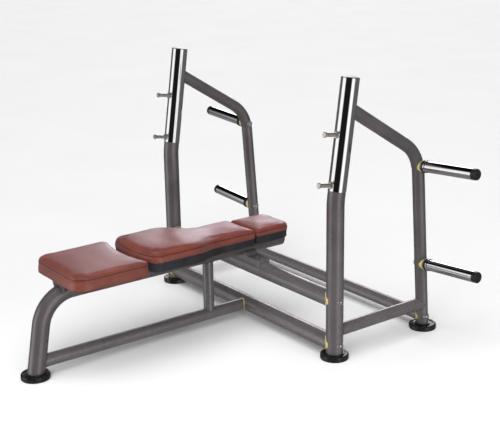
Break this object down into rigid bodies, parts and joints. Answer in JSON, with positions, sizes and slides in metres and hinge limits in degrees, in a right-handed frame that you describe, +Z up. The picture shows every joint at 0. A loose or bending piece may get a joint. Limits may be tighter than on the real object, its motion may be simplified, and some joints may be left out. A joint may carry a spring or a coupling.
{
  "type": "olympic bench press",
  "caption": "Flat Olympic bench press: three-part padded bench on a bent beam, two side frames with chrome uprights, bar rests and plate storage horns, joined by bolted crossbars.",
  "frame": {"origin": "on the floor, in the middle of the footprint", "axes": "+X to the right of a person walking from the seat end to the head end, along the bar; +Y from the seat end to the head end; +Z up"},
  "size_m": [1.881, 1.717, 1.1811],
  "materials": {
    "frame_paint": "satin",
    "chrome": "polished",
    "leather": "satin",
    "plywood": "matte",
    "pad_base_plastic": "satin",
    "rubber": "matte",
    "black_plastic": "gloss",
    "gasket": "matte",
    "zinc_steel": "satin"
  },
  "bodies": {
    "root": {"back_cushion": "leather", "back_pad_base": "pad_base_plastic", "bar_rest_nuts": "zinc_steel", "beam_end_cap": "black_plastic", "beam_saddle": "frame_paint", "bench_beam": "frame_paint", "bench_foot": "rubber", "bench_strut": "frame_paint", "chrome_sleeve_left": "chrome", "chrome_sleeve_right": "chrome", "frame_bolts": "zinc_steel", "frame_washers": "zinc_steel", "front_foot_left": "rubber", "front_foot_right": "rubber", "head_cushion": "leather", "head_pad_base": "pad_base_plastic", "horn_bumper_rings": "rubber", "horn_set_screws": "zinc_steel", "lower_bar_rest_left": "chrome", "lower_bar_rest_right": "chrome", "lower_beam": "frame_paint", "lower_crossbar": "frame_paint", "lower_horn_cap_left": "black_plastic", "lower_horn_cap_right": "black_plastic", "lower_horn_sleeve_left": "chrome", "lower_horn_sleeve_right": "chrome", "lower_horn_stub_left": "frame_paint", "lower_horn_stub_right": "frame_paint", "pad_cross_plates": "frame_paint", "pad_screws": "zinc_steel", "rear_crossbar": "frame_paint", "rear_foot_left": "rubber", "rear_foot_right": "rubber", "rear_post_left": "frame_paint", "rear_post_right": "frame_paint", "saddle_bolts": "zinc_steel", "saddle_gaskets": "gasket", "saddle_nut_bar": "zinc_steel", "seat_board": "plywood", "seat_cushion": "leather", "seat_support": "frame_paint", "side_rail_left": "frame_paint", "side_rail_right": "frame_paint", "tee_nuts": "zinc_steel", "threaded_plugs": "frame_paint", "top_cap_left": "black_plastic", "top_cap_right": "black_plastic", "upper_bar_rest_left": "chrome", "upper_bar_rest_right": "chrome", "upper_crossbar": "frame_paint", "upper_horn_cap_left": "black_plastic", "upper_horn_cap_right": "black_plastic", "upper_horn_sleeve_left": "chrome", "upper_horn_sleeve_right": "chrome", "upper_horn_stub_left": "frame_paint", "upper_horn_stub_right": "frame_paint", "upright_tube_left": "frame_paint", "upright_tube_right": "frame_paint"}
  },
  "joints": []
}
